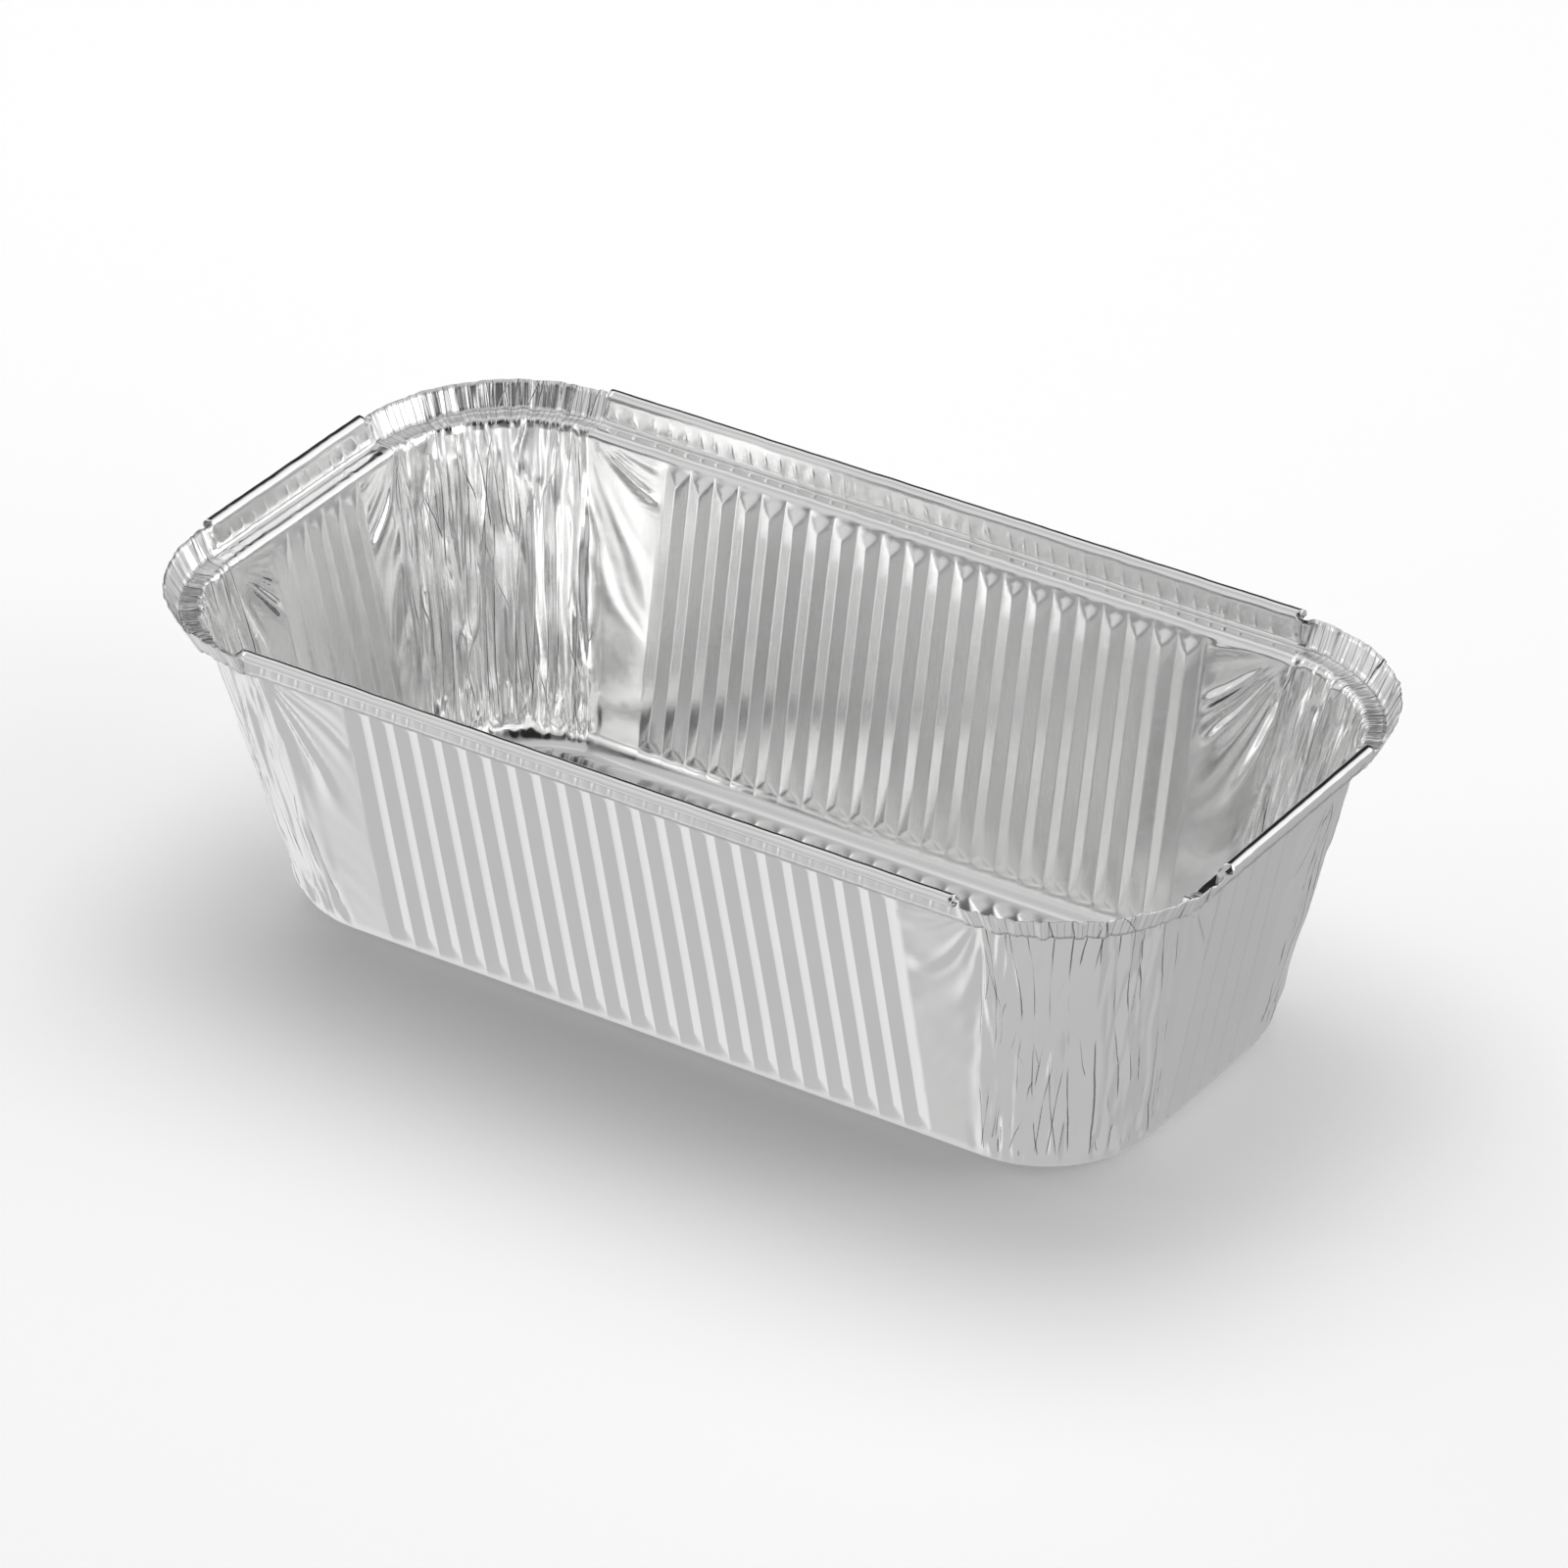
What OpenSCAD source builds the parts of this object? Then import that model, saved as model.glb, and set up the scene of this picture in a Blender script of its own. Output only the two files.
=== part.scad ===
// Foil roasting pan of loaf shape, pressed from one sheet of aluminium foil.
// The slanted walls are fluted, the four corners are gathered in pleats, and a ledge
// and an upstand run round the top. The upstand ends in an outward curl along the
// straight runs and in a bare leaning edge round the corners.
// Origin in the middle of the underside, length along X, +Z up.

/* [Overall size] */
// Length over the curled rim
pan_l = 253; // [225:1:310]
// Width over the curled rim
pan_w = 134; // [112:1:165]
// Height from the underside to the top of the curl
pan_h = 77.5; // [60:1:95]
// Thickness of the foil
foil_t = 0.1; // [0.08:0.01:0.2]

/* [Base and wall] */
// Angle by which the walls lean outwards
wall_draft = 11.8; // [8:0.1:15]
// Corner radius of the base, seen from above
base_r = 25; // [16:0.5:34]
// Radius of the bend from the base into the wall
foot_r = 5; // [2:0.5:8]

/* [Flutes] */
// Distance from one flute to the next
flute_pitch = 6.1; // [5:0.1:9]
// Depth of a flute, pressed inwards from the plain wall
flute_depth = 1; // [0.4:0.1:1.6]
// Height over which a flute fades out at each end
flute_fade = 3.5; // [2:0.5:8]
// Least plain wall beside the flutes of a long side, at the base
side_plain = 8.6; // [2:0.2:20]
// Least plain wall beside the flutes of an end, at the base
end_plain = 2.5; // [0.5:0.1:10]

/* [Corner pleats] */
// Distance from one pleat to the next, at the rim
pleat_pitch = 3.2; // [2.8:0.1:5]
// Depth of the deepest pleats
pleat_depth = 0.7; // [0.2:0.1:1]
// Sideways wander of the pleats on the wall, as a share of half their pitch
pleat_wander = 0.3; // [0:0.1:0.4]

/* [Rim] */
// Corner radius of the crest of the rim, seen from above
rim_r = 37; // [30:0.5:46]
// Height from the ledge to the top of the curl
rim_h = 7.5; // [6.5:0.5:12]
// Width of the flat ledge
ledge_w = 4.5; // [3:0.1:7]
// Radius of the shoulder from the wall onto the ledge
shoulder_r = 1.2; // [0.4:0.1:2.5]
// Angle by which the upstand leans outwards below the curl
upstand_lean = 8; // [2:1:15]
// Outside diameter of the curl
curl_d = 3; // [2:0.1:4]
// Plain gap between the end of a curl and the corner pleats
curl_gap = 1.5; // [1:0.1:4]
// Angle by which the bare corner edge leans outwards
corner_lean = 28; // [15:1:30]
// Height by which the bare corner edge stays below the top of the curl
corner_drop = 1.8; // [0.5:0.1:3]

/* [Hidden] */

// Heights and distances of the section, measured on the outside of the foil.
wall_dir = 90 - wall_draft;
curl_r = curl_d / 2;
ledge_z = pan_h - rim_h;
foot_run = foot_r * tan(wall_dir / 2);
foot_top = foot_run * cos(wall_draft);
shoulder_run = shoulder_r * tan(wall_dir / 2);
wall_top = ledge_z - shoulder_run * cos(wall_draft);
flute_low = foot_top + flute_fade;
flute_high = wall_top - flute_fade;

// The curl's arc on the outside of the foil, and where its centre lies beyond the wall.
curl_skin_r = curl_r - foil_t;
curl_z = pan_h - curl_r;
curl_start = 180 - upstand_lean;
curl_angles = concat([curl_start], [for (a = [135 : -45 : -135]) a]);
curl_rows = len(curl_angles) - 1;
upstand_h = curl_z + curl_skin_r * sin(curl_start) - ledge_z;
curl_out = ledge_w + upstand_h * tan(upstand_lean) - curl_skin_r * cos(curl_start);
corner_h = rim_h - corner_drop;

// Outline of the wall at height z: half length, half width and corner radius.
ledge_half_l = pan_l / 2 - curl_r - curl_out;
ledge_half_w = pan_w / 2 - curl_r - curl_out;
ledge_r = rim_r - curl_out;
function half_l(z) = ledge_half_l - (ledge_z - z) * tan(wall_draft);
function half_w(z) = ledge_half_w - (ledge_z - z) * tan(wall_draft);
function corner_r(z) = base_r + (ledge_r - base_r) * z / ledge_z;

// Flutes that fit on each side between the corners of the base.
function flute_count(half_run, plain) = max(0, floor((half_run - plain) * 2 / flute_pitch));
side_flutes = flute_count(half_l(0) - base_r, side_plain);
end_flutes = flute_count(half_w(0) - base_r, end_plain);
corner_steps = 2 * round(rim_r * PI / 2 / pleat_pitch);

// Quarter turns q count from the front side, seen from above: front, right, back, left.
function is_long(q) = q % 2 == 0;
function flutes(q) = is_long(q) ? side_flutes : end_flutes;
function fluted_half(q) = flutes(q) * flute_pitch / 2;
function outward(q) = [cos(90 * q - 90), sin(90 * q - 90), 0];
function along(q) = [-sin(90 * q - 90), cos(90 * q - 90), 0];
function side_out(q, z) = is_long(q) ? half_w(z) : half_l(z);
function half_run(q, z) = (is_long(q) ? half_l(z) : half_w(z)) - corner_r(z);
rim_run = [for (q = [0 : 3]) half_run(q, ledge_z)];

// A row of the section is [height that sets the outline, distance beyond that outline,
// height, direction of the foil before and after the row, share of the flute's depth,
// share of the pleat's depth, share of the pleat's wander].
function row(on, out, z, before, after, flute, pleat, wander) =
    [on, out, z, before, after, flute, pleat, wander];
function foot_row(dir, pleat) =
    row(0, foot_r * sin(dir) - foot_run, foot_r * (1 - cos(dir)), dir, dir, 0, pleat, 0);
function wall_row(z, flute, pleat, wander) =
    row(z, 0, z, wall_dir, wall_dir, flute, pleat, wander);
function curl_row(a) =
    row(ledge_z, curl_out + curl_skin_r * cos(a), curl_z + curl_skin_r * sin(a),
        a - 90, a - 90, 0, 0, 0);
wall_rows = [
    foot_row(0, 0),
    foot_row(wall_dir / 2, 0.1),
    foot_row(wall_dir, 0.25),
    wall_row(flute_low, 1, 0.4, 0.5),
    wall_row((flute_low + flute_high) / 2, 1, 0.7, 1),
    wall_row(flute_high, 1, 1, 0.3),
    wall_row(wall_top, 0, 0.9, 0)];
top_row = len(wall_rows) - 1;
ledge_inner = row(ledge_z, shoulder_run, ledge_z, 0, 0, 0, 0.4, 0);
ledge_outer = row(ledge_z, ledge_w, ledge_z, 0, 90 - upstand_lean, 0, 0.5, 0);
corner_edge = row(ledge_z, ledge_w + corner_h * tan(corner_lean), ledge_z + corner_h,
    90 - corner_lean, 90 - corner_lean, 0, 1, 0);

// Columns of points round the pan. A plain column lies a share of the plain wall away
// from the corner, a fluted one at a fixed place along its side, a pleated one in a corner.
PLAIN = 0;
FLUTE = 1;
PLEAT = 2;
function gap_share(q) = curl_gap / (rim_run[q] - fluted_half(q));
function side_columns(q) = concat(
    [[q, PLAIN, -1, gap_share(q)], [q, PLAIN, -1, 0.5]],
    [for (i = [0 : 2 * flutes(q)]) [q, FLUTE, i * flute_pitch / 2 - fluted_half(q), i % 2]],
    [[q, PLAIN, 1, 0.5], [q, PLAIN, 1, gap_share(q)]]);
function corner_columns(q) = [for (k = [0 : corner_steps]) [q, PLEAT, k, 0]];
columns = [for (q = [0 : 3]) for (c = concat(side_columns(q), corner_columns(q))) c];
column_count = len(columns);

// The rim keeps only the ends of the curls and the corners' columns.
rim_columns = [for (c = [0 : column_count - 1])
    if (columns[c][1] == PLEAT || columns[c][3] == gap_share(columns[c][0])) c];
rim_count = len(rim_columns);
curl_columns = [for (c = rim_columns) if (columns[c][1] == PLAIN) c];

// Pleats rise and fall from column to column by uneven amounts, none at a corner's ends.
function pleat_height(k) = k == 0 || k == corner_steps ? 0
    : (k % 2 == 0 ? 0.5 : -0.5) * (0.65 + 0.35 * sin(k * 137));
function pleat_angle(k, r) = k == 0 || k == corner_steps ? 90 * k / corner_steps
    : 90 / corner_steps * (k + r[7] * pleat_wander * sin(k * 83 + r[2] * 9));

// How far a column stands off the smooth foil at a row, towards the inside of the pan.
function relief(col, r) = col[1] == FLUTE ? flute_depth * r[5] * col[3]
    : col[1] == PLEAT ? pleat_depth * r[6] * pleat_height(col[2]) : 0;

// A point of a column at a row, off the outside of the foil by the depth given.
function foil_point(col, r, depth) =
    let (q = col[0], mid = (r[3] + r[4]) / 2,
         off = depth / cos((r[4] - r[3]) / 2) + relief(col, r),
         out = r[1] - off * sin(mid), z = r[2] + off * cos(mid), run = half_run(q, r[0]))
    col[1] == PLEAT
        ? let (a = pleat_angle(col[2], r), turn = cos(a) * outward(q) + sin(a) * along(q))
            outward(q) * (side_out(q, r[0]) - corner_r(r[0])) + along(q) * run
            + turn * (corner_r(r[0]) + out) + [0, 0, z]
        : let (s = col[1] == FLUTE ? col[2] : col[2] * (run - col[3] * (run - fluted_half(q))))
            outward(q) * (side_out(q, r[0]) + out) + along(q) * s + [0, 0, z];

// One face of the foil: the wall's points, the rim's, the curls', and the base's middle.
function edge_row(col) = col[1] == PLEAT ? corner_edge : curl_row(curl_start);
function face_points(depth) = concat(
    [for (col = columns) for (r = wall_rows) foil_point(col, r, depth)],
    [for (c = rim_columns) for (r = [ledge_inner, ledge_outer, edge_row(columns[c])])
        foil_point(columns[c], r, depth)],
    [for (c = curl_columns) for (i = [1 : curl_rows])
        foil_point(columns[c], curl_row(curl_angles[i]), depth)],
    [[0, 0, depth]]);
points = concat(face_points(0), face_points(foil_t));
face_size = len(points) / 2;

// Places in the list of points.
rim_start = column_count * len(wall_rows);
curl_first = rim_start + 3 * rim_count;
function wall_i(c, j) = c % column_count * len(wall_rows) + j;
function rim_i(m, j) = rim_start + m % rim_count * 3 + j;
function curl_i(e, j) = j == 0 ? rim_i(curl_rim[e], 2) : curl_first + e * curl_rows + j - 1;
curl_rim = [for (m = [0 : rim_count - 1]) if (columns[rim_columns[m]][1] == PLAIN) m];

// Triangles of the outside face, clockwise seen from outside the pan.
function quad(a, b, c, d) = [[a, b, c], [a, c, d]];
wall_faces = [for (c = [0 : column_count - 1]) for (j = [0 : top_row - 1])
    each quad(wall_i(c, j), wall_i(c, j + 1), wall_i(c + 1, j + 1), wall_i(c + 1, j))];
base_faces = [for (c = [0 : column_count - 1]) [face_size - 1, wall_i(c, 0), wall_i(c + 1, 0)]];
function next_rim_column(m) = m == rim_count - 1 ? column_count : rim_columns[m + 1];
shoulder_faces = [for (m = [0 : rim_count - 1]) each concat(
    [for (c = [rim_columns[m] : next_rim_column(m) - 1])
        [rim_i(m, 0), wall_i(c + 1, top_row), wall_i(c, top_row)]],
    [[rim_i(m, 0), rim_i(m + 1, 0), wall_i(next_rim_column(m), top_row)]])];
rim_faces = [for (m = [0 : rim_count - 1]) for (j = [0 : 1])
    each quad(rim_i(m, j), rim_i(m, j + 1), rim_i(m + 1, j + 1), rim_i(m + 1, j))];
curl_faces = [for (q = [0 : 3]) for (j = [0 : curl_rows - 1])
    each quad(curl_i(2 * q, j), curl_i(2 * q, j + 1),
        curl_i(2 * q + 1, j + 1), curl_i(2 * q + 1, j))];
outside_faces = concat(wall_faces, base_faces, shoulder_faces, rim_faces, curl_faces);
inside_faces = [for (f = outside_faces) [f[2], f[1], f[0]] + face_size * [1, 1, 1]];

// The cut edge of the foil: round each curl's three free sides, then along the corner.
cut_edge = [for (q = [0 : 3]) each concat(
    [for (j = [0 : curl_rows]) curl_i(2 * q, j)],
    [for (j = [curl_rows : -1 : 0]) curl_i(2 * q + 1, j)],
    [for (k = [0 : corner_steps]) rim_i(curl_rim[2 * q + 1] + 1 + k, 2)])];
edge_faces = [for (i = [0 : len(cut_edge) - 1])
    let (a = cut_edge[i], b = cut_edge[(i + 1) % len(cut_edge)])
    each quad(b, a, a + face_size, b + face_size)];

module pan() {
    color("silver")
    polyhedron(points = points, faces = concat(outside_faces, inside_faces, edge_faces),
        convexity = 6);
}

pan();
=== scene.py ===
import math

import bpy
import numpy as np
from mathutils import Matrix, Vector


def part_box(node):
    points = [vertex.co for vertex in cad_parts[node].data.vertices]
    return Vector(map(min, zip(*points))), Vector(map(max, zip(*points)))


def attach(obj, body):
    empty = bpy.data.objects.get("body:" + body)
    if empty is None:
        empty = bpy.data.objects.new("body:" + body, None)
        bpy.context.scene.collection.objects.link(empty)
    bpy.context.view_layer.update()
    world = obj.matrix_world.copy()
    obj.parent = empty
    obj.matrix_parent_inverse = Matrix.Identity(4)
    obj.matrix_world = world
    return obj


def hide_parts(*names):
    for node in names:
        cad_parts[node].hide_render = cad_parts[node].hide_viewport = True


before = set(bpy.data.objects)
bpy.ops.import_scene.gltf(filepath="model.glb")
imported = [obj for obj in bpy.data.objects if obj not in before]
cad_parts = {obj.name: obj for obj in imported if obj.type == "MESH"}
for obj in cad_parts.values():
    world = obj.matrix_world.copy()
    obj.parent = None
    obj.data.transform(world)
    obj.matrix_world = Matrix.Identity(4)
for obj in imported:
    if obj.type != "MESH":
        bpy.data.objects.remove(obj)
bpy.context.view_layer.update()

pan_low, pan_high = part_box("pan")

FULL_TURN = 2 * math.pi

# Lengths are in millimetres while the foil is shaped, and in metres once it is a mesh.
MM = 0.001

# The pan: the overall sizes come from the frame, the others are those of its drawing.
PAN_L = (pan_high.x - pan_low.x) / MM
PAN_W = (pan_high.y - pan_low.y) / MM
PAN_H = pan_high.z / MM
FOIL_T = 0.1
WALL_DRAFT = math.radians(11.8)
BASE_R = 25.0
FOOT_R = 5.0
FLUTE_PITCH = 6.1
FLUTE_DEPTH = 1.0
FLUTE_FADE = 3.0
FLUTE_TOP_FADE = 4.4
FLUTE_GAP = 1.0
CAD_FADE = 3.5
SIDE_FLUTES = 22
END_FLUTES = 5
PEAK = FLUTE_PITCH / 2
CREASE = 0.22
PLEAT_STEPS = 36
PLEAT_DEPTH = 0.7
PLEAT_WANDER = 0.3
RIM_R = 37.0
RIM_H = 7.5
LEDGE_W = 4.5
SHOULDER_R = 1.2
UPSTAND_LEAN = math.radians(8.0)
CURL_D = 3.0
CURL_GAP = 1.5
CURL_END = math.radians(-140)
CURL_TIGHTEN = 0.3
CORNER_LEAN = math.radians(28.0)
CORNER_DROP = 1.8

# Degrees from one main pleat to the next in the wave of their heights and in that of their
# shifts sideways, and degrees a millimetre up in the latter.
PLEAT_SPREAD = 137
PLEAT_TURN = 83
PLEAT_CLIMB = 9

# Derived sizes of the section.
WALL_DIR = math.pi / 2 - WALL_DRAFT
CURL_R = CURL_D / 2
CURL_SKIN_R = CURL_R - FOIL_T
CURL_Z = PAN_H - CURL_R
CURL_START = math.pi - UPSTAND_LEAN
LEDGE_Z = PAN_H - RIM_H
FOOT_RUN = FOOT_R * math.tan(WALL_DIR / 2)
FOOT_TOP = FOOT_RUN * math.cos(WALL_DRAFT)
SHOULDER_RUN = SHOULDER_R * math.tan(WALL_DIR / 2)
WALL_TOP = LEDGE_Z - SHOULDER_RUN * math.cos(WALL_DRAFT)
UPSTAND_H = CURL_Z + CURL_SKIN_R * math.sin(CURL_START) - LEDGE_Z
CURL_OUT = LEDGE_W + UPSTAND_H * math.tan(UPSTAND_LEAN) - CURL_SKIN_R * math.cos(CURL_START)
CORNER_H = RIM_H - CORNER_DROP
LEDGE_HALF_L = PAN_L / 2 - CURL_R - CURL_OUT
LEDGE_HALF_W = PAN_W / 2 - CURL_R - CURL_OUT
LEDGE_R = RIM_R - CURL_OUT
CORNER_ARC = RIM_R * math.pi / 2

# The kinds of columns round the pan.
PLAIN, FLUTED, CORNER = range(3)

# How finely the foil is meshed.
PLAIN_CELLS = 18
FLUTE_CELLS = 6
CORNER_CELLS = 104
FOOT_ROWS = 4
FADE_ROWS = 4
WALL_ROWS = 35
WALL_SKIP = 5
WALL_CROWDING = 1.25
SHOULDER_ROWS = 2
UPSTAND_ROWS = 5
CURL_ROWS = 10

# Distance beyond the wall and lift of the points across the ledge and its bead.
LEDGE_POINTS = ((2.4, 0), (3.55, 0), (3.85, 0.28), (4.15, 0.05))

# The rings of points over the base: their share of its size, and one in how many points. The
# base rises a little over the outer share of its size, up to its crown.
BASE_RINGS = ((0.955, 2), (0.88, 4), (0.7, 4), (0.5, 4), (0.27, 4))
BASE_RISE = 0.3
BASE_CROWN = 0.3

# The unevenness that pressing and handling leave in the foil.
LUMP_HEIGHT = 0.62
CREASES = 46
DRAPES = 2.5
DRAPE_DEPTH = 0.015
DENT_PITCH = 4.1
DENT_HEIGHT = 0.26
DIMPLE_HEIGHT = 0.22
EDGE_PLEATS = (0.9, 1.9, 0.2)


def smooth(low, high, value):
    """0 below low, 1 above high, and a soft step between."""
    t = np.clip((value - low) / (high - low), 0.0, 1.0)
    return t * t * (3 - 2 * t)


def zigzag(value):
    """A triangle wave of period 1 between -1 and 1."""
    return 4 * np.abs(value - np.floor(value) - 0.5) - 1


def noise(x, y, seed):
    """Smooth random heights between -1 and 1 over a plane, the same on each run."""
    size = 256
    table = np.random.default_rng(seed).uniform(-1, 1, (size, size))
    x, y = np.broadcast_arrays(x, y)
    column, line = np.floor(x).astype(int), np.floor(y).astype(int)
    u, w = x - column, y - line
    u, w = u * u * (3 - 2 * u), w * w * (3 - 2 * w)
    at = lambda i, j: table[(column + i) % size, (line + j) % size]
    low = at(0, 0) * (1 - u) + at(1, 0) * u
    high = at(0, 1) * (1 - u) + at(1, 1) * u
    return low * (1 - w) + high * w


def outline(height):
    """Half length, half width and corner radius of the wall at a height."""
    inset = (LEDGE_Z - height) * math.tan(WALL_DRAFT)
    radius = BASE_R + (LEDGE_R - BASE_R) * height / LEDGE_Z
    return LEDGE_HALF_L - inset, LEDGE_HALF_W - inset, radius


class Section:
    """The rows of the foil from the base's edge up to the rim, as arrays with one entry a row:
    the height that sets the outline, the distance beyond it, the height and the direction.
    Past the ledge there are two of each, below a curl and in a corner."""

    def __init__(self):
        self.rows = []
        for i in range(FOOT_ROWS):
            turn = WALL_DIR * i / FOOT_ROWS
            self.add(0, FOOT_R * math.sin(turn) - FOOT_RUN, FOOT_R * (1 - math.cos(turn)), turn)
        low, high = FOOT_TOP + FLUTE_FADE, WALL_TOP - FLUTE_GAP - FLUTE_TOP_FADE
        wall = high - (high - low) * np.linspace(1, 0, WALL_ROWS + 1) ** WALL_CROWDING
        for z in (*np.linspace(FOOT_TOP, low, FADE_ROWS + 1)[:-1], *wall,
                  *np.linspace(high, WALL_TOP - FLUTE_GAP, FADE_ROWS)[1:], WALL_TOP):
            self.add(z, 0, z, WALL_DIR)
        self.wall_last = len(self.rows) - 1
        for i in range(1, SHOULDER_ROWS + 1):
            turn = WALL_DIR * (1 - i / SHOULDER_ROWS)
            out = SHOULDER_RUN - SHOULDER_R * math.sin(turn)
            self.add(LEDGE_Z, out, LEDGE_Z - SHOULDER_R * (1 - math.cos(turn)), turn)
        for out, lift in LEDGE_POINTS:
            self.add(LEDGE_Z, out, LEDGE_Z + lift, 0)
        self.ledge_last = len(self.rows)
        edge_out = LEDGE_W + CORNER_H * math.tan(CORNER_LEAN)
        curl_out = CURL_OUT + CURL_SKIN_R * math.cos(CURL_START)
        for i in range(UPSTAND_ROWS + 1):
            t = i / UPSTAND_ROWS
            self.add(LEDGE_Z, LEDGE_W + (curl_out - LEDGE_W) * t, LEDGE_Z + UPSTAND_H * t,
                     math.pi / 2 - UPSTAND_LEAN if i else math.pi / 4,
                     LEDGE_W + (edge_out - LEDGE_W) * t, LEDGE_Z + CORNER_H * t,
                     math.pi / 2 - CORNER_LEAN if i else math.pi / 4)
        table = np.array(self.rows)
        self.on = table[:, 0]
        self.out, self.corner_out = table[:, 1], table[:, 4]
        self.z, self.corner_z = table[:, 2], table[:, 5]
        self.turn, self.corner_turn = table[:, 3], table[:, 6]
        wall_out = np.array([outline(h)[1] for h in self.on]) + self.out
        steps = np.hypot(np.diff(wall_out), np.diff(self.z))
        self.up = np.concatenate([[0], np.cumsum(steps)])
        # Flutes are straight, so between their ends they need only some of the rows.
        wall_row = np.arange(len(table)) - FOOT_ROWS - FADE_ROWS
        inner = (wall_row > 0) & (wall_row < WALL_ROWS) & (wall_row % WALL_SKIP > 0)
        self.kept = np.flatnonzero(~inner)
        # How much of the flutes' depth is left at a row. Above them their columns spread evenly.
        ends = ((self.z - FOOT_TOP) / FLUTE_FADE, (WALL_TOP - FLUTE_GAP - self.z) / FLUTE_TOP_FADE)
        self.full = np.clip(np.minimum(*ends), 0, 1)
        self.even = smooth(WALL_TOP - FLUTE_GAP, WALL_TOP, self.z)

    def add(self, on, out, z, turn, corner_out=None, corner_z=None, corner_turn=None):
        """Adds a row. The last three are for the corners, where they differ."""
        self.rows.append([on, out, z, turn,
                          out if corner_out is None else corner_out,
                          z if corner_z is None else corner_z,
                          turn if corner_turn is None else corner_turn])


class Columns:
    """The columns of the foil round the pan, quarter by quarter from the front side: plain
    wall, flutes, plain wall and corner. Arrays hold one entry a column."""

    def __init__(self):
        entries = []
        self.curls = []
        self.flutes = []
        for quarter in range(4):
            long_side = quarter % 2 == 0
            flutes = SIDE_FLUTES if long_side else END_FLUTES
            half = flutes * FLUTE_PITCH / 2
            rim = outline(LEDGE_Z)[0 if long_side else 1] - LEDGE_R
            gap = CURL_GAP / (rim - half)
            plain = np.concatenate([[1.0], np.linspace(1 - gap, 0, PLAIN_CELLS)])
            first = len(entries)
            for share in plain[:-1]:
                entries.append((quarter, PLAIN, -1, share, half, 0))
            fluted = len(entries)
            for flute in range(flutes):
                start = flute * FLUTE_PITCH - half
                for i in range(FLUTE_CELLS):
                    entries.append((quarter, FLUTED, 0, i, half, start))
            self.flutes.append((fluted, len(entries) - 1))
            for share in plain[:0:-1]:
                entries.append((quarter, PLAIN, 1, share, half, 0))
            self.curls.append((first + 1, len(entries) - 1))
            for step in range(CORNER_CELLS):
                entries.append((quarter, CORNER, 0, step / CORNER_CELLS, half, 0))
        table = np.array(entries, float)
        self.count = len(table)
        self.quarter = table[:, 0].astype(int)
        self.kind = table[:, 1].astype(int)
        self.sign = table[:, 2]
        self.share = table[:, 3]
        self.fluted_half = table[:, 4]
        self.start = table[:, 5]
        side = self.quarter * math.pi / 2 - math.pi / 2
        angle = side + np.where(self.kind == CORNER, self.share, 0) * math.pi / 2
        self.side_out = np.stack([np.cos(side), np.sin(side)], 1)
        self.side_along = np.stack([-np.sin(side), np.cos(side)], 1)
        self.facing = np.stack([np.cos(angle), np.sin(angle)], 1)
        left = (self.kind == PLAIN) & (self.sign < 0)
        self.corner = np.where(left, (self.quarter - 1) % 4, self.quarter)

    def place(self, on, out, full=1.0, even=1.0):
        """Points in plan of all columns on the outline at a height, moved outwards by out. The
        columns of the flutes lie on their creases, which close in where less than the full
        depth is left, or evenly spread where even is 1."""
        half_l, half_w, radius = outline(on)
        long_side = self.quarter % 2 == 0
        depth = np.where(long_side, half_w, half_l)
        run = np.where(long_side, half_l, half_w) - radius
        least = 1.2 * CREASE
        edge = least + (PEAK - CREASE - least) * full
        creases = np.array([0, CREASE, edge, PEAK, FLUTE_PITCH - edge, FLUTE_PITCH - CREASE])
        creases += even * (np.arange(FLUTE_CELLS) * FLUTE_PITCH / FLUTE_CELLS - creases)
        step = np.where(self.kind == FLUTED, self.share, 0).astype(int)
        along = np.where(self.kind == FLUTED, self.start + creases[step],
                         self.sign * (self.fluted_half + self.share * (run - self.fluted_half)))
        straight = self.side_out * (depth + out)[:, None] + self.side_along * along[:, None]
        centre = self.side_out * (depth - radius)[:, None] + self.side_along * run[:, None]
        bend = centre + self.facing * (radius + out)[:, None]
        return np.where((self.kind == CORNER)[:, None], bend, straight), run, along


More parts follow.
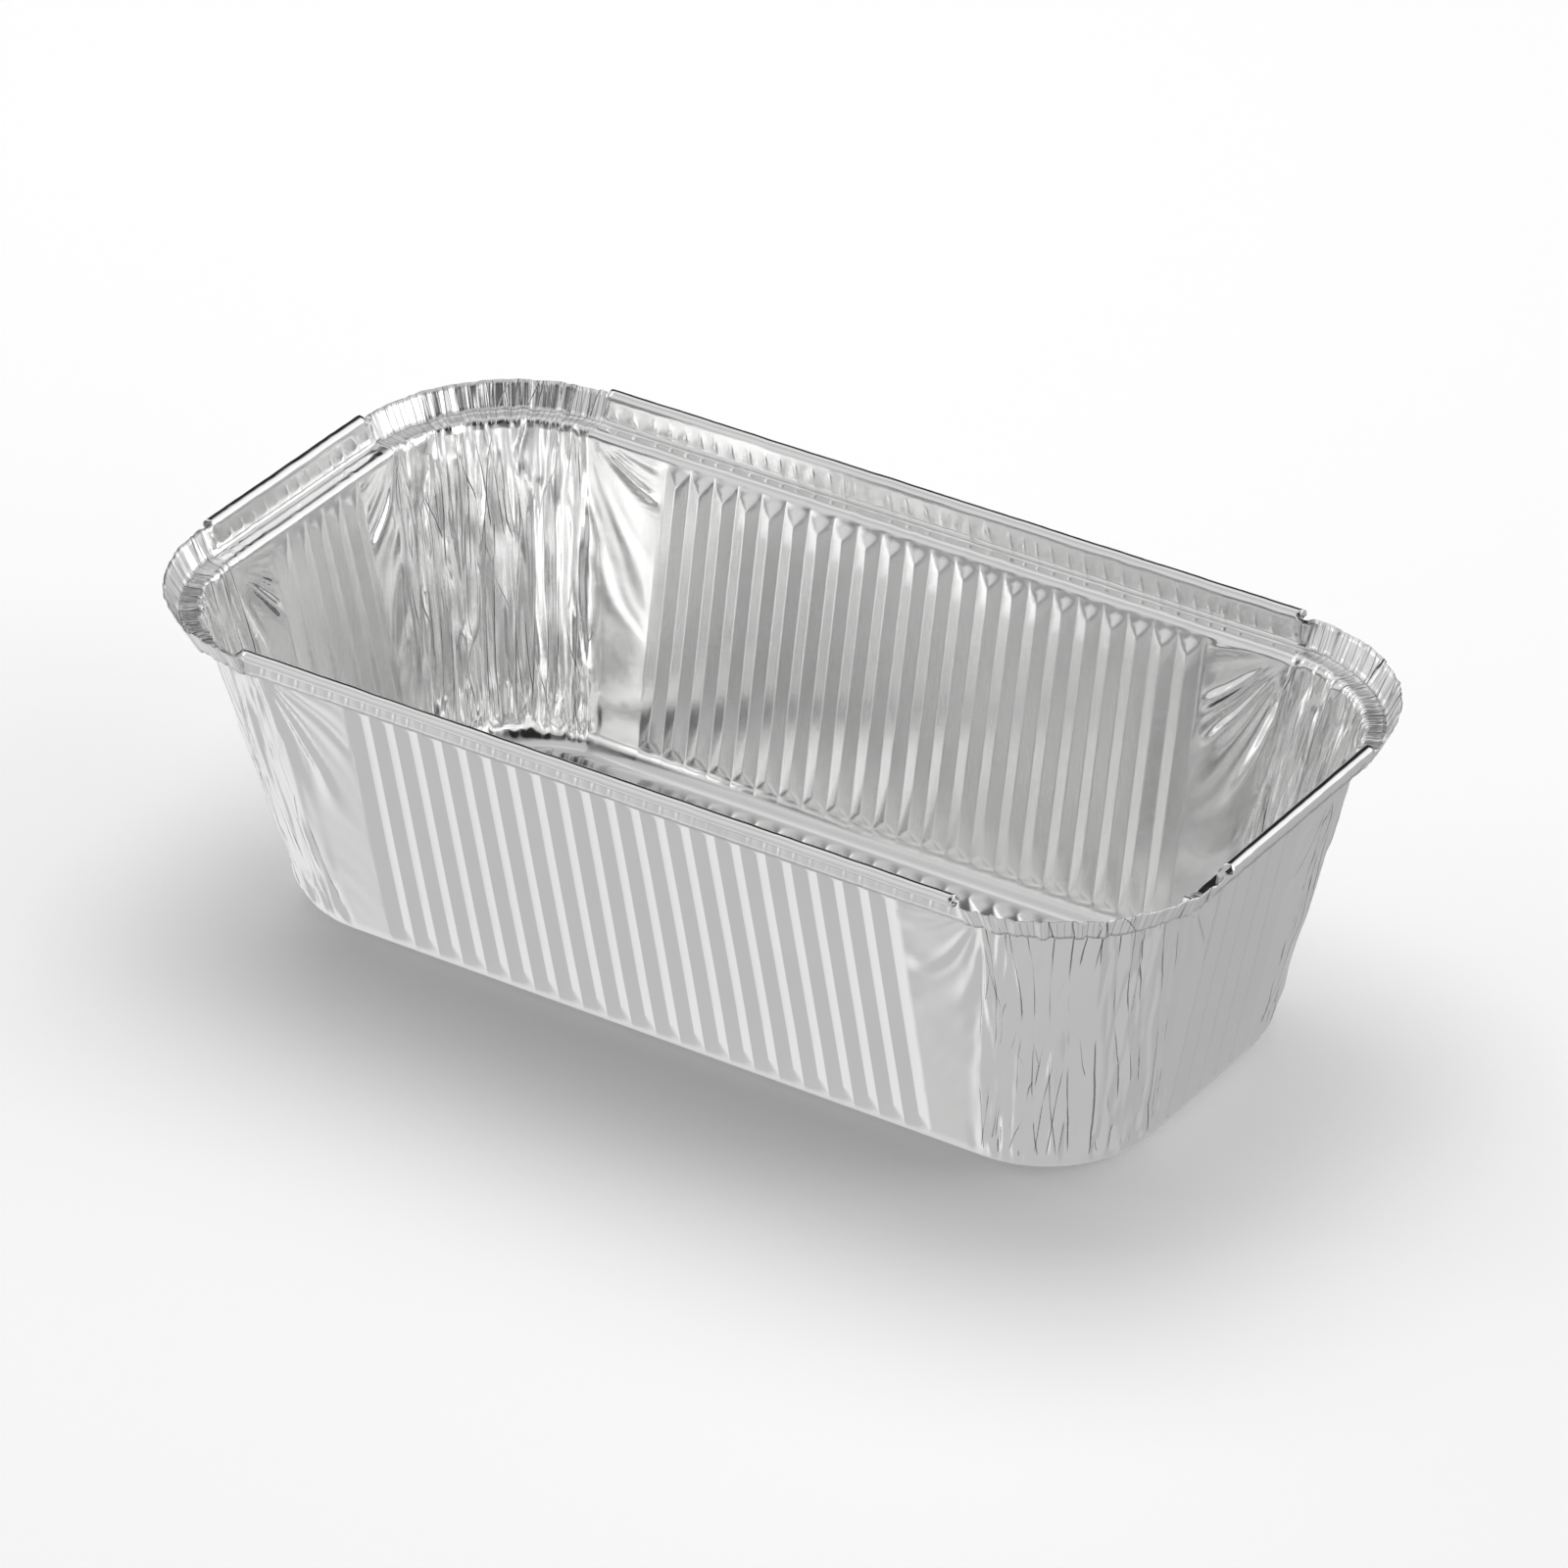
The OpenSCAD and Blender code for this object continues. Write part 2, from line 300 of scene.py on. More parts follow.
class Foil:
    """The smooth foil as a grid of rows and columns: points, the direction towards the inside
    of the pan, and the distances over the sheet that its creases are made from."""

    def __init__(self):
        self.section = Section()
        self.columns = Columns()
        rows, count = len(self.section.on), self.columns.count
        shape = (rows, count)
        self.points = np.zeros(shape + (3,))
        self.inward = np.zeros(shape + (3,))
        self.from_corner = np.zeros(shape)
        self.along = np.zeros(shape)
        bend = self.columns.kind == CORNER
        for j in range(rows):
            out = np.where(bend, self.section.corner_out[j], self.section.out[j])
            z = np.where(bend, self.section.corner_z[j], self.section.z[j])
            turn = np.where(bend, self.section.corner_turn[j], self.section.turn[j])
            plan, run, along = self.columns.place(
                self.section.on[j], out, self.section.full[j], self.section.even[j])
            self.along[j] = along
            self.points[j, :, :2] = plan
            self.points[j, :, 2] = z
            self.inward[j, :, :2] = -self.columns.facing * np.sin(turn)[:, None]
            self.inward[j, :, 2] = np.cos(turn)
            past = run - np.abs(along)
            self.from_corner[j] = np.where(
                bend, (self.columns.share - 0.5) * CORNER_ARC,
                np.where(self.columns.sign < 0, 1, -1) * (CORNER_ARC / 2 + past))
        self.up = np.broadcast_to(self.section.up[:, None], shape)
        self.z = self.points[:, :, 2]
        self.below_ledge = self.section.up[self.section.wall_last] - self.up
        self.above_ledge = smooth(0, 1.5, -self.below_ledge)
        self.round_seed = 37.0 * self.columns.corner[None, :]
        plan = self.points[self.section.ledge_last, :, :2]
        steps = np.linalg.norm(np.diff(plan, axis=0, append=plan[:1]), axis=1)
        self.run = np.concatenate([[0], np.cumsum(steps)])[:-1][None, :] + 0 * self.up
        self.perimeter = steps.sum()

    def past_corner(self):
        """Distance into the plain wall from where a corner starts, negative in the corner."""
        return np.abs(self.from_corner) - CORNER_ARC / 2


def flute_relief(foil):
    """Grooves pressed inwards. At both ends the ridges between them flatten out into the
    wall, so that the folds beside them run to a point."""
    profile = (1 - zigzag((foil.along + foil.columns.fluted_half) / FLUTE_PITCH)) / 2
    fluted = foil.columns.kind == FLUTED
    return np.where(fluted, FLUTE_DEPTH * np.minimum(profile, foil.section.full[:, None]), 0)


def main_pleats(foil):
    """The main pleats of the corners: uneven ridges, deeper towards the rim, which wander."""
    flute_low, flute_high = FOOT_TOP + CAD_FADE, WALL_TOP - CAD_FADE
    heights = [0, FOOT_TOP / 2, FOOT_TOP, flute_low, (flute_low + flute_high) / 2, flute_high,
               WALL_TOP, LEDGE_Z]
    depth = np.interp(foil.section.corner_z, heights + [PAN_H - CORNER_DROP],
                      [0, 0.1, 0.25, 0.4, 0.7, 1, 0.9, 0.4, 1])
    wander = np.interp(foil.section.corner_z, heights, [0, 0, 0, 0.5, 1, 0.3, 0, 0])
    step = np.arange(PLEAT_STEPS + 1)
    uneven = 0.65 + 0.35 * np.sin(np.radians(step * PLEAT_SPREAD))
    height = np.where(step % 2, -0.5, 0.5) * uneven
    height[[0, -1]] = 0
    relief = np.zeros(foil.up.shape)
    bend = foil.columns.kind == CORNER
    place = foil.columns.share[bend] * PLEAT_STEPS
    for j, z in enumerate(foil.section.corner_z):
        shift = PLEAT_WANDER * wander[j] * np.sin(np.radians(step * PLEAT_TURN + z * PLEAT_CLIMB))
        shift[[0, -1]] = 0
        relief[j, bend] = PLEAT_DEPTH * depth[j] * np.interp(place, step + shift, height)
    patches = noise(foil.from_corner / 6 + foil.round_seed, foil.up / 20, 9)
    keep = 0.2 + 0.4 * smooth(-0.2, 0.5, patches)
    return relief * keep * (1 - 0.5 * smooth(0, 3, -foil.below_ledge))


def panels(place, seed, narrow, wide, height):
    """Flat panels of uneven width between sharp folds: the number of each place's panel, a
    whole number at a fold, and the height of the foil there."""
    random = np.random.default_rng(seed)
    steps = random.uniform(narrow, wide, int((place.max() - place.min()) / narrow) + 3)
    folds = place.min() - wide + np.cumsum(steps)
    heights = height * random.uniform(0.25, 1, len(folds))
    heights = heights * np.minimum(steps, np.roll(steps, -1)) / wide
    heights[::2] *= -1
    numbers = np.arange(len(folds))
    number = np.interp(place, folds, numbers)
    return number, np.interp(number, numbers, heights)


# The layers of folds in a corner: least and most width of a panel, height, lean to the side as
# it goes up, how far and over what height it wanders, and how rare it is.
LAYERS = (
    (2.0, 6.5, 0.74, 0.07, 1.6, 26, -0.8),
    (1.4, 4.4, 0.46, -0.10, 1.4, 20, -0.1),
    (4.0, 10.0, 0.66, 0.24, 2.4, 11, 0.0),
    (5.0, 11.0, 0.66, -0.27, 2.6, 10, 0.05),
    (1.0, 2.2, 0.17, 0.03, 1.0, 30, 0.1),
)
# The widths of the creases along the folds of the first layers, in parts of a panel. The material
# bumps these creases in and darkens them with painted shade.
FOLD_LINES = (0.05, 0.055, 0.026, 0.024)


def crumple_relief(foil):
    """Flat panels between sharp folds that wander down and cross each other in the corners,
    and small lumps where the corners meet the base."""
    near = 1 - smooth(-0.5, 3.5, foil.past_corner())
    total = np.zeros(foil.up.shape)
    foil.folds = [(np.zeros(foil.up.shape), np.zeros(foil.up.shape)) for _ in FOLD_LINES]
    for corner in range(4):
        mine = foil.columns.corner == corner
        around, up, beside = foil.from_corner[:, mine], foil.up[:, mine], near[:, mine]
        for i, (narrow, wide, height, lean, sway, over, rare) in enumerate(LAYERS):
            seed = 100 + 10 * i + corner
            place = around + lean * up + sway * noise(around / 9 + corner * 7, up / over, seed)
            number, relief = panels(np.clip(place, -90, 90), seed, narrow, wide, height)
            patches = noise(around / 8 + corner * 5, up / 19 + corner, seed + 1)
            some = smooth(rare, rare + 0.4, patches)
            total[:, mine] += some * relief
            if i < len(FOLD_LINES):
                foil.folds[i][0][:, mine] = number
                foil.folds[i][1][:, mine] = some * beside
    around, up = foil.from_corner, foil.up
    lumps = LUMP_HEIGHT * noise(around / 1.8 + foil.round_seed, up / 6 + around / 11, 14)
    lumps *= smooth(2, 8, up) * (1 - smooth(13, 21, up))
    fading = (0.35 + 0.65 * smooth(6, 36, up)) * (1 - 0.85 * smooth(0, 2, -foil.below_ledge))
    return near * (total * fading + lumps)


def crease_relief(foil):
    """Single creases that run down from the rim of each corner and wander sideways."""
    random = np.random.default_rng(21)
    total = np.zeros(foil.up.shape)
    top = foil.section.up[-1]
    wall_top = foil.section.up[foil.section.wall_last]
    for corner in range(4):
        mine = foil.columns.corner == corner
        around, up = foil.from_corner[:, mine], foil.up[:, mine]
        relief = np.zeros(around.shape)
        for _ in range(CREASES):
            start = random.uniform(-0.56, 0.56) * CORNER_ARC
            upper = random.choice([top + 5, wall_top - random.uniform(0, 16)])
            length = random.uniform(14, 62)
            lean = random.uniform(-0.16, 0.16)
            sway = random.uniform(0.5, 2.2)
            line = start + lean * (upper - up) + sway * noise(up / 13, start, random.integers(99))
            depth = random.uniform(0.12, 0.46) * random.choice([-1, 1])
            side = around - line
            steep, slack = random.permutation([0.25, random.uniform(0.8, 2.6)])
            profile = np.where(side < 0, np.exp(side / steep), np.exp(-side / slack))
            ends = smooth(upper - length, upper - length * 0.55, up)
            ends *= 1 - smooth(upper - 2, upper, up)
            relief += depth * profile * ends
        total[:, mine] += relief
    near = 1 - smooth(0.5, 5.0, foil.past_corner())
    return total * near


def drape_relief(foil):
    """Soft folds that fan out over the plain wall from where the rim's corner starts."""
    beside = foil.past_corner() + 1.5
    below = foil.below_ledge + 2.5
    reach = np.hypot(beside, below)
    seed = foil.round_seed + 11 * np.sign(foil.from_corner)
    fan = np.arctan2(below, beside) + 0.10 * noise(beside / 12 + seed, below / 12, 30)
    turn = DRAPES * fan + 0.015 * reach + 0.25 * noise(fan * 3 + seed, reach / 22, 31) + seed
    depth = 0.3 + 1.1 * smooth(-0.4, 0.5, noise(fan * 4 + seed, reach / 20, 32))
    depth *= DRAPE_DEPTH * np.minimum(reach, 26)
    depth *= smooth(3, 11, reach) * (1 - smooth(20, 48, reach))
    folds = depth * np.cos(FULL_TURN * turn)
    slant = (below - 1.1 * beside) / 8 + 0.6 * noise(below / 16 + seed, beside / 7, 33)
    lower = 0.09 * np.cos(FULL_TURN * slant + seed) * np.exp(-beside / 8) * smooth(14, 24, below)
    lower *= smooth(-0.4, 0.3, noise(below / 15 + seed, beside / 20, 34))
    plain = foil.columns.kind == PLAIN
    edge = np.where(plain, smooth(0, 0.22, foil.columns.share), foil.columns.kind == CORNER)
    where = smooth(-3, 1.5, foil.past_corner()) * smooth(0.3, 3, foil.below_ledge) * edge
    foil.fan = 2 * turn, depth * smooth(5, 14, reach) * where
    return (folds + lower * smooth(4, 12, foil.z)) * where


def sheet_relief(foil):
    """The slight unevenness of all thin foil, and the dents of its upstand and ledge."""
    x, y, z = foil.points[:, :, 0], foil.points[:, :, 1], foil.z
    broad = noise(x / 34 + z / 50, y / 34 - z / 45, 41) * 0.22
    small = noise(x / 9 + z / 8, y / 9 - z / 13, 42) * 0.035
    wall = smooth(0.5, 9, foil.z) * (1 - smooth(-6, 0, -foil.below_ledge))
    run = foil.run
    ledge_up = foil.section.up[foil.section.ledge_last]
    lift = foil.up - ledge_up
    row = run / DENT_PITCH + 0.3 * noise(run / 9, lift / 30, 43) - lift / 16
    some = smooth(0.6, 2.3, lift) * (1 - smooth(2.6, 5.2, lift)) * (
        0.3 + 0.7 * smooth(-0.5, 0.3, noise(run / 6, 0.5, 46)))
    some *= foil.columns.kind != CORNER
    foil.dents = row, some
    dents = DENT_HEIGHT * np.clip(np.cos(FULL_TURN * row) - 0.2, 0, None) * some
    dents += 0.05 * noise(run / 5.2, foil.up / 3, 44) + 0.01 * noise(run / 2.6, foil.up / 4, 45)
    dimples = DIMPLE_HEIGHT * np.clip(noise(run / 1.7, foil.up / 2.2, 47) - 0.2, 0, None)
    dimples *= 1 - smooth(0.0, 0.6, lift)
    return (broad + small) * wall + (dents + dimples) * foil.above_ledge


def corner_edge_lift(foil):
    """Uneven height of the bare edge in the corners."""
    share = smooth(0, 1, (foil.z - LEDGE_Z) / CORNER_H)
    ragged = 0.28 * noise(foil.from_corner / 1.1 + foil.round_seed, 0.5, 51)
    ragged += 0.22 * noise(foil.from_corner / 4 + foil.round_seed, 0.5, 52)
    return np.where(foil.columns.kind == CORNER, ragged * share, 0)


def flange_relief(foil):
    """Tight overlapping pleats of the bare corner edge."""
    sway = noise(foil.from_corner / 3 + foil.round_seed, foil.up / 9, 61)
    around = foil.from_corner + 0.5 * sway
    pleat, relief = panels(around + foil.round_seed, 62, *EDGE_PLEATS)
    near = 1 - smooth(-1.0, 0.5, foil.past_corner())
    foil.pleat = pleat
    return relief * foil.above_ledge * near


def shape_foil():
    """The foil's grid with all its relief, and the marks that its material reads."""
    foil = Foil()
    near = 1 - smooth(-1.0, 4.0, foil.past_corner())
    bend = smooth(1, 6, foil.z)
    relief = flute_relief(foil)
    relief += main_pleats(foil) + (crumple_relief(foil) + crease_relief(foil)) * bend
    relief += drape_relief(foil) + sheet_relief(foil) + flange_relief(foil)
    points = foil.points + foil.inward * relief[:, :, None]
    points[:, :, 2] += corner_edge_lift(foil)
    foil.shaped = points
    fluted = (foil.columns.kind == FLUTED) + 0 * foil.up
    flange = foil.above_ledge * (foil.columns.kind == CORNER)
    foil.marks = {
        "crumple": near * smooth(3, 20, foil.up), "fluted": fluted, "flange": flange,
        "rim": foil.above_ledge, "pleat": foil.pleat, "fan": foil.fan[0],
        "fan_depth": foil.fan[1], "dent_row": foil.dents[0], "dent": foil.dents[1]}
    for i, (number, some) in enumerate(foil.folds):
        foil.marks[f"fold_{i}"] = number
        foil.marks[f"fold_{i}_depth"] = some * bend
    return foil


def curl_points(foil, quarter, depth):
    """The curl above one straight side: rows of points from its first turn to its free edge."""
    first, last = foil.columns.curls[quarter]
    facing = foil.columns.facing[first:last + 1]
    run = foil.run[0, first:last + 1]
    plan, _, _ = foil.columns.place(LEDGE_Z, np.full(foil.columns.count, CURL_OUT))
    plan = plan[first:last + 1]
    rows = []
    for j in range(1, CURL_ROWS + 1):
        turn = CURL_START + (CURL_END - CURL_START) * j / CURL_ROWS
        tighten = CURL_TIGHTEN * (j / CURL_ROWS) ** 2
        dent = 0.06 * (1 + noise(run / 5, j / 3, 71)) + 0.03 * (1 + noise(run / 1.4, j / 2, 72))
        radius = CURL_SKIN_R + depth - tighten - dent * smooth(0, 2, j)
        point = np.zeros((len(run), 3))
        point[:, :2] = plan + facing * (radius * math.cos(turn))[:, None]
        point[:, 2] = CURL_Z + radius * math.sin(turn)
        rows.append(point)
    return np.array(rows)


class Shell:
    """Collects the two faces of the foil as one closed mesh."""

    def __init__(self):
        self.points = []
        self.count = 0
        self.faces = []
        self.maps = []

    def add(self, points):
        """Adds points and returns their numbers in the same layout."""
        flat = points.reshape(-1, 3)
        first = self.count
        self.points.append(flat)
        self.count += len(flat)
        return np.arange(first, self.count).reshape(points.shape[:-1])

    def grid(self, numbers, across, up, flip=False):
        """Four-sided faces between the rows and columns of a grid of point numbers."""
        a, b = numbers[:-1, :-1], numbers[:-1, 1:]
        c, d = numbers[1:, 1:], numbers[1:, :-1]
        corners = [a, b, c, d]
        places = [(slice(0, -1), slice(0, -1)), (slice(0, -1), slice(1, None)),
                  (slice(1, None), slice(1, None)), (slice(1, None), slice(0, -1))]
        maps = [np.stack([across[p], up[p]], -1) for p in places]
        if flip:
            corners, maps = corners[::-1], maps[::-1]
        self.faces.append(np.stack(corners, -1).reshape(-1, 4))
        self.maps.append(np.stack(maps, -2).reshape(-1, 4, 2))

    def seam(self, some, every, kept, some_at, every_at, flip=False):
        """Three-sided faces between a column that uses only the kept rows, on the left, and
        one on its right that uses every row."""
        corners, places = [], []
        for low, high in zip(kept, kept[1:]):
            for j in range(low, high):
                corners.append((some[low], every[j], every[j + 1]))
                places.append((some_at[low], every_at[j], every_at[j + 1]))
            corners.append((some[low], every[high], some[high]))
            places.append((some_at[low], every_at[high], some_at[high]))
        self.triangles(np.array(corners), np.array(places), flip)

    def triangles(self, corners, places, flip=False):
        """Three-sided faces from lists of point numbers and their places on the sheet."""
        if flip:
            corners, places = corners[:, ::-1], places[:, ::-1]
        self.faces.append(corners)
        self.maps.append(places)


def base_rings(foil, depth):
    """Rings of points over the base from its edge inwards, with fewer points than the edge."""
    edge = foil.shaped[0]
    rings = []
    for share, skip in BASE_RINGS:
        ring = edge[::skip] * share
        lift = 0.28 + 0.28 * noise(ring[:, 0] / 21, ring[:, 1] / 21, 81)
        ring[:, 2] = lift * min(1, (1 - share) / BASE_RISE) + depth
        rings.append(ring)
    return rings


def add_base(shell, foil, edge, depth, flip):
    """Fills the base inside its edge with rings of triangles down to its middle."""
    rings = [(edge, foil.shaped[0])]
    for ring in base_rings(foil, depth):
        rings.append((shell.add(ring), ring))
    middle_point = np.array([0, 0, BASE_CROWN + depth])
    middle = shell.add(middle_point[None])[0]
    for (outer, outer_at), (inner, inner_at) in zip(rings, rings[1:]):
        step = len(outer) // len(inner)
        i = np.arange(len(inner))
        ahead = (i + 1) % len(inner)
        fan = [(outer[i * step + k], outer[(i * step + k + 1) % len(outer)], inner[i],
                outer_at[i * step + k], outer_at[(i * step + k + 1) % len(outer)], inner_at[i])
               for k in range(step)]
        last = (i * step + step) % len(outer)
        fan.append((outer[last], inner[ahead], inner[i],
                    outer_at[last], inner_at[ahead], inner_at[i]))
        for a, b, c, at_a, at_b, at_c in fan:
            places = np.stack([at_a[:, :2], at_b[:, :2], at_c[:, :2]], 1)
            shell.triangles(np.stack([a, b, c], 1), places, not flip)
    inner, inner_at = rings[-1]
    ahead = np.roll(inner, -1)
    places = np.stack([inner_at[:, :2], np.roll(inner_at, -1, 0)[:, :2],
                       np.broadcast_to(middle_point[:2], (len(inner), 2))], 1)
    shell.triangles(np.stack([inner, ahead, np.full(len(inner), middle)], 1), places, not flip)


def add_walls(shell, foil, wall, flip):
    """The faces of all walls, with fewer rows along the flutes than beside them."""
    kept = foil.section.kept

    def span(first, last):
        index = np.arange(first, last + 1)
        turns, index = np.divmod(index, foil.columns.count)
        return wall[:, index], foil.run[:, index] + foil.perimeter * turns, foil.up[:, index]

    def column(number):
        numbers, across, up = span(number, number)
        return numbers[:, 0], np.concatenate([across, up], 1)

    starts = [first for first, _ in foil.columns.flutes]
    starts.append(starts[0] + foil.columns.count)
    for (first, last), following in zip(foil.columns.flutes, starts[1:]):
        numbers, across, up = span(first, last)
        shell.grid(numbers[kept], across[kept], up[kept], flip)
        shell.grid(*span(last + 1, following - 1), flip)
        some, some_at = column(last)
        every, every_at = column(last + 1)
        shell.seam(some, every, kept, some_at, every_at, flip)
        some, some_at = column(following)
        every, every_at = column(following - 1)
        shell.seam(some, every, kept, some_at, every_at, not flip)


def foil_mesh(foil):
    """The closed mesh of the foil with its thickness, and the numbers of the points of its
    two walls."""
    shell = Shell()
    thick = FOIL_T * foil.inward
    sides = []
    for depth, flip in ((0.0, False), (1.0, True)):
        wall = shell.add(foil.shaped + depth * thick)
        add_walls(shell, foil, wall, flip)
        add_base(shell, foil, wall[0], depth * FOIL_T, flip)
        curls = []
        for quarter, (first, last) in enumerate(foil.columns.curls):
            roll = shell.add(curl_points(foil, quarter, depth * FOIL_T))
            rows = np.concatenate([wall[-1:, first:last + 1], roll])
            reach = foil.section.up[-1] + np.arange(CURL_ROWS + 1) * 0.6
            shell.grid(rows, foil.run[:1, first:last + 1] + 0 * rows,
                       reach[:, None] + 0.0 * rows, flip)
            curls.append(rows)
        sides.append((wall, curls))
    (wall_out, curls_out), (wall_in, curls_in) = sides
    path_out, path_in = [], []
    for quarter, (first, last) in enumerate(foil.columns.curls):
        for path, wall, curls in ((path_out, wall_out, curls_out), (path_in, wall_in, curls_in)):
            rows = curls[quarter]
            path.extend([rows[:, 0], rows[-1, 1:], rows[-2::-1, -1]])
            stop = foil.columns.curls[(quarter + 1) % 4][0]
            between = np.arange(last + 1, stop if quarter < 3 else foil.columns.count + stop)
            path.append(wall[-1, between % foil.columns.count])
    edge_out, edge_in = np.concatenate(path_out), np.concatenate(path_in)
    edge = np.stack([edge_out, edge_in])
    edge = np.concatenate([edge, edge[:, :1]], 1)
    across = np.arange(edge.shape[1]) * 0.5 + 0.0 * edge
    shell.grid(edge, across, np.array([[0.0], [FOIL_T]]) + 0.0 * edge)
    return shell, [wall_out, wall_in]


def pan_object(foil):
    """The roasting pan as one object, smooth shaded, in metres."""
    shell, walls = foil_mesh(foil)
    points = np.concatenate(shell.points)
    limit = np.array([PAN_L / 2, PAN_W / 2, PAN_H])
    points = np.clip(points, [-limit[0], -limit[1], 0], limit) * MM
    used = np.unique(np.concatenate([group.ravel() for group in shell.faces]))
    number = np.zeros(len(points), int)
    number[used] = np.arange(len(used))
    faces = [face for group in shell.faces for face in number[group].tolist()]
    mesh = bpy.data.meshes.new("foil_pan")
    mesh.from_pydata(points[used].tolist(), [], faces)
    sheet = mesh.uv_layers.new(name="sheet")
    places = np.concatenate([group.reshape(-1, 2) for group in shell.maps]) * MM
    sheet.data.foreach_set("uv", places.ravel().astype(np.float32))
    for name, values in foil.marks.items():
        mark = np.zeros(len(points), np.float32)
        for wall in walls:
            mark[wall] = values
        mesh.attributes.new(name, "FLOAT", "POINT").data.foreach_set("value", mark[used])
    mesh.polygons.foreach_set("use_smooth", np.ones(len(mesh.polygons), bool))
    mesh.update()
    pan = bpy.data.objects.new("foil_pan", mesh)
    bpy.context.scene.collection.objects.link(pan)
    return pan


class Value:
    """A number that varies over a surface: the socket that carries it, with arithmetic."""

    def __init__(self, tree, socket):
        self.tree = tree
        self.socket = socket

    def math(self, operation, *others, clamp=False):
        return self.tree.value("ShaderNodeMath", {"operation": operation, "use_clamp": clamp},
                               {i: v for i, v in enumerate((self,) + others)})

    def __add__(self, other):
        return self.math("ADD", other)

    def __radd__(self, other):
        return self.math("ADD", other)

    def __sub__(self, other):
        return self.math("SUBTRACT", other)

    def __rsub__(self, other):
        return self.math("MULTIPLY_ADD", -1.0, other)

    def __mul__(self, other):
        return self.math("MULTIPLY", other)

    def __rmul__(self, other):
        return self.math("MULTIPLY", other)

    def clamped(self):
        return self.math("ADD", 0.0, clamp=True)


class Tree:
    """The node tree of a material or of the surround."""

    def __init__(self, owner):
        owner.use_nodes = True
        self.nodes = owner.node_tree.nodes
        self.links = owner.node_tree.links
        self.nodes.clear()

    def node(self, kind, settings=None, sockets=None):
        """Adds a node: its settings first, then the values or links of its sockets."""
        made = self.nodes.new(kind)
        for name, setting in (settings or {}).items():
            setattr(made, name, setting)
        for name, value in (sockets or {}).items():
            if isinstance(value, Value):
                value = value.socket
            if isinstance(value, bpy.types.NodeSocket):
                self.links.new(value, made.inputs[name])
            else:
                made.inputs[name].default_value = value
        return made

    def value(self, kind, settings=None, sockets=None, output=0):
        return Value(self, self.node(kind, settings, sockets).outputs[output])

    def stretched(self, place, scale):
        """A place multiplied by a scale along each axis."""
        return self.node("ShaderNodeVectorMath", {"operation": "MULTIPLY"},
                         {0: place, 1: scale}).outputs[0]

    def noise(self, place, scale, detail=3.0, roughness=0.55, distortion=0.0):
        return self.value("ShaderNodeTexNoise", None, {
            "Vector": place, "Scale": scale, "Detail": detail, "Roughness": roughness,
            "Distortion": distortion})

    def mark(self, name):
        """A value that the mesh carries under a name."""
        return self.value("ShaderNodeAttribute", {"attribute_name": name}, output="Fac")

    def crease(self, across, width):
        """1 along the thin line where a fold that repeats once a unit turns, else 0."""
        return 1 - self.soft_step(across.math("PINGPONG", 0.5), 0.0, width)

    def blend(self, share, first, second):
        """A colour between two others."""
        return self.node("ShaderNodeMix", {"data_type": "RGBA"},
                         {"Factor": share, "A": first, "B": second}).outputs["Result"]

    def soft_step(self, value, low, high):
        """0 below low, 1 above high, and a soft step between."""
        return self.value("ShaderNodeMapRange", {"interpolation_type": "SMOOTHSTEP"}, {
            "Value": value, "From Min": low, "From Max": high})

    def facing(self, place, direction):
        """How far a direction from the middle turns towards another, from -1 to 1."""
        return self.value("ShaderNodeVectorMath", {"operation": "DOT_PRODUCT"},
                          {0: place, 1: Vector(direction).normalized()}, "Value")

    def finish(self, shader, output="ShaderNodeOutputMaterial"):
        self.node(output, None, {"Surface": shader.outputs[0]})


# The foil's colours: a duller and a brighter metal, and the painted shade that darkens the creases
# of its folds and pleats.
DULL_METAL = (0.86, 0.86, 0.855, 1)
BRIGHT_METAL = (0.93, 0.93, 0.93, 1)
PAINTED_FOLD_SHADE = (0.10, 0.10, 0.10, 1)
BUMP_DEPTH = 0.00014


